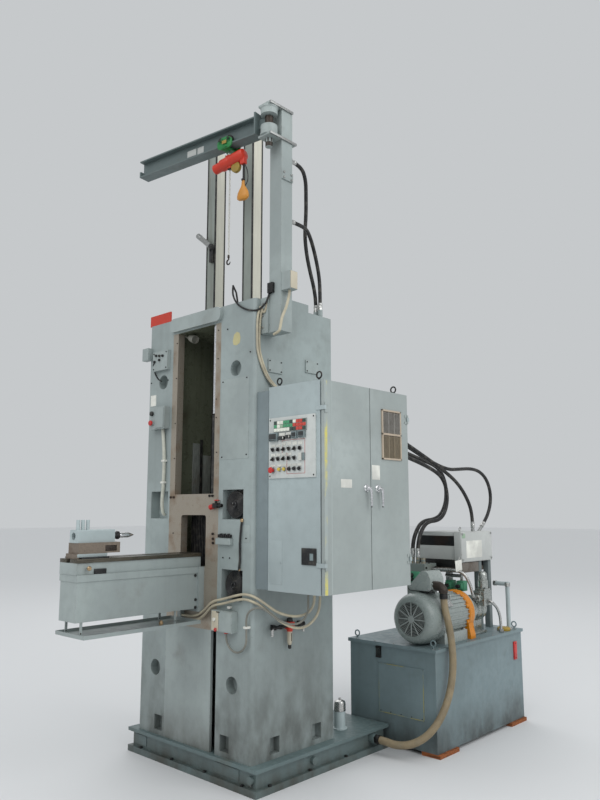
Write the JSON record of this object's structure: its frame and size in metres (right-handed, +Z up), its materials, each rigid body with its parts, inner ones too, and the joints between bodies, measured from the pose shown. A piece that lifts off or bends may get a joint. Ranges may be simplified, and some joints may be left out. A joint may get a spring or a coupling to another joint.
{
  "type": "vertical roll forming machine",
  "caption": "Vertical roll forming machine: portal column with work bed and tailstock, electrical cabinet, jib crane with chain hoist, and hydraulic power unit.",
  "frame": {"origin": "on the floor under the column, on its centreline and in the plane of its front face", "axes": "+X to the electrical cabinet, +Y to the back, +Z up"},
  "size_m": [1.839, 3.5489, 4.45],
  "materials": {
    "bearer_wood": "worn",
    "black_plastic": "matte",
    "black_rubber": "matte",
    "bright_steel": "ground",
    "cabinet_paint": "satin",
    "chrome_trim": "polished",
    "clear_plastic": "gloss",
    "cream_cable": "matte",
    "cream_paint": "satin",
    "dark_steel": "oiled",
    "green_paint": "gloss",
    "hook_paint": "gloss",
    "jib_paint": "satin",
    "machine_paint": "satin",
    "machined_steel": "worn, lightly rusted",
    "motor_paint": "satin",
    "orange_paint": "gloss",
    "red_paint": "gloss",
    "red_plastic": "gloss",
    "relay_plastic": "matte",
    "tan_conduit": "ribbed",
    "tank_paint": "satin",
    "valve_paint": "satin",
    "white_paint": "satin"
  },
  "bodies": {
    "machine": {"air_filter": "chrome_trim", "air_regulator": "clear_plastic", "bed_cable_lower": "cream_cable", "bed_cable_upper": "cream_cable", "bed_ways": "machined_steel", "bell_housing": "orange_paint", "cabinet_body": "cabinet_paint", "cabinet_spacer": "machine_paint", "cabinet_switchgear": "relay_plastic", "cable_socket": "black_plastic", "column_body": "machine_paint", "control_panel": "cabinet_paint", "cover_plates": "machine_paint", "drip_tray": "machine_paint", "emergency_stop": "red_plastic", "fan_cowl": "motor_paint", "guide_posts": "bright_steel", "jib_post": "machine_paint", "junction_box": "white_paint", "junction_hose_inner": "black_rubber", "junction_hose_outer": "black_rubber", "lifting_eyes": "dark_steel", "machined_face": "machined_steel", "manifold_hose_lower": "black_rubber", "manifold_hose_upper": "black_rubber", "motor_body": "motor_paint", "motor_conduit": "tan_conduit", "name_board": "red_paint", "niche_discs": "black_rubber", "oil_cooler": "dark_steel", "oil_gauges": "clear_plastic", "oil_pump": "bright_steel", "oil_tank": "tank_paint", "panel_controls": "black_plastic", "panel_lamps": "clear_plastic", "pedestal": "machine_paint", "suction_pipe": "machine_paint", "switch_boxes": "machine_paint", "switch_cable": "cream_cable", "tank_bearers": "bearer_wood", "tank_covers": "tank_paint", "terminal_box": "motor_paint", "tower_hose_left": "black_rubber", "tower_hose_right": "black_rubber", "valve_manifold": "valve_paint", "work_bed": "machine_paint", "work_lamp": "white_paint"},
    "jib": {"jib_arm": "jib_paint"},
    "trolley": {"trolley": "green_paint", "hoist_body": "red_paint", "load_chain": "chrome_trim", "hook_block": "hook_paint"},
    "tailstock": {"tailstock_saddle": "machined_steel", "tailstock_head": "machine_paint"},
    "quill": {"tailstock_quill": "bright_steel"},
    "door_front": {"cabinet_door_front": "cabinet_paint", "door_handle_front": "chrome_trim"},
    "door_rear": {"cabinet_door_rear": "cabinet_paint", "vent_grille": "cream_paint", "door_handle_rear": "chrome_trim"}
  },
  "joints": [
    {"name": "jib_swing", "type": "hinge", "parent": "machine", "child": "jib", "pos_m": [0.7045, -0.006, 4.25], "axis": [0, 0, 1], "range_deg": [-8, 90]},
    {"name": "trolley_travel", "type": "slide", "parent": "jib", "child": "trolley", "axis": [-0.9914, -0.1305, 0], "range_m": [-0.11, 0.76]},
    {"name": "tailstock_slide", "type": "slide", "parent": "machine", "child": "tailstock", "axis": [0, 1, 0], "range_m": [0, 0.4]},
    {"name": "quill_slide", "type": "slide", "parent": "tailstock", "child": "quill", "axis": [0, 1, 0], "range_m": [-0.03, 0.05]},
    {"name": "front_door_hinge", "type": "hinge", "parent": "machine", "child": "door_front", "pos_m": [1.152, 0.038, 1.8], "axis": [0, 0, -1], "range_deg": [0, 110]},
    {"name": "rear_door_hinge", "type": "hinge", "parent": "machine", "child": "door_rear", "pos_m": [1.152, 0.882, 1.8], "axis": [0, 0, 1], "range_deg": [0, 110]}
  ]
}
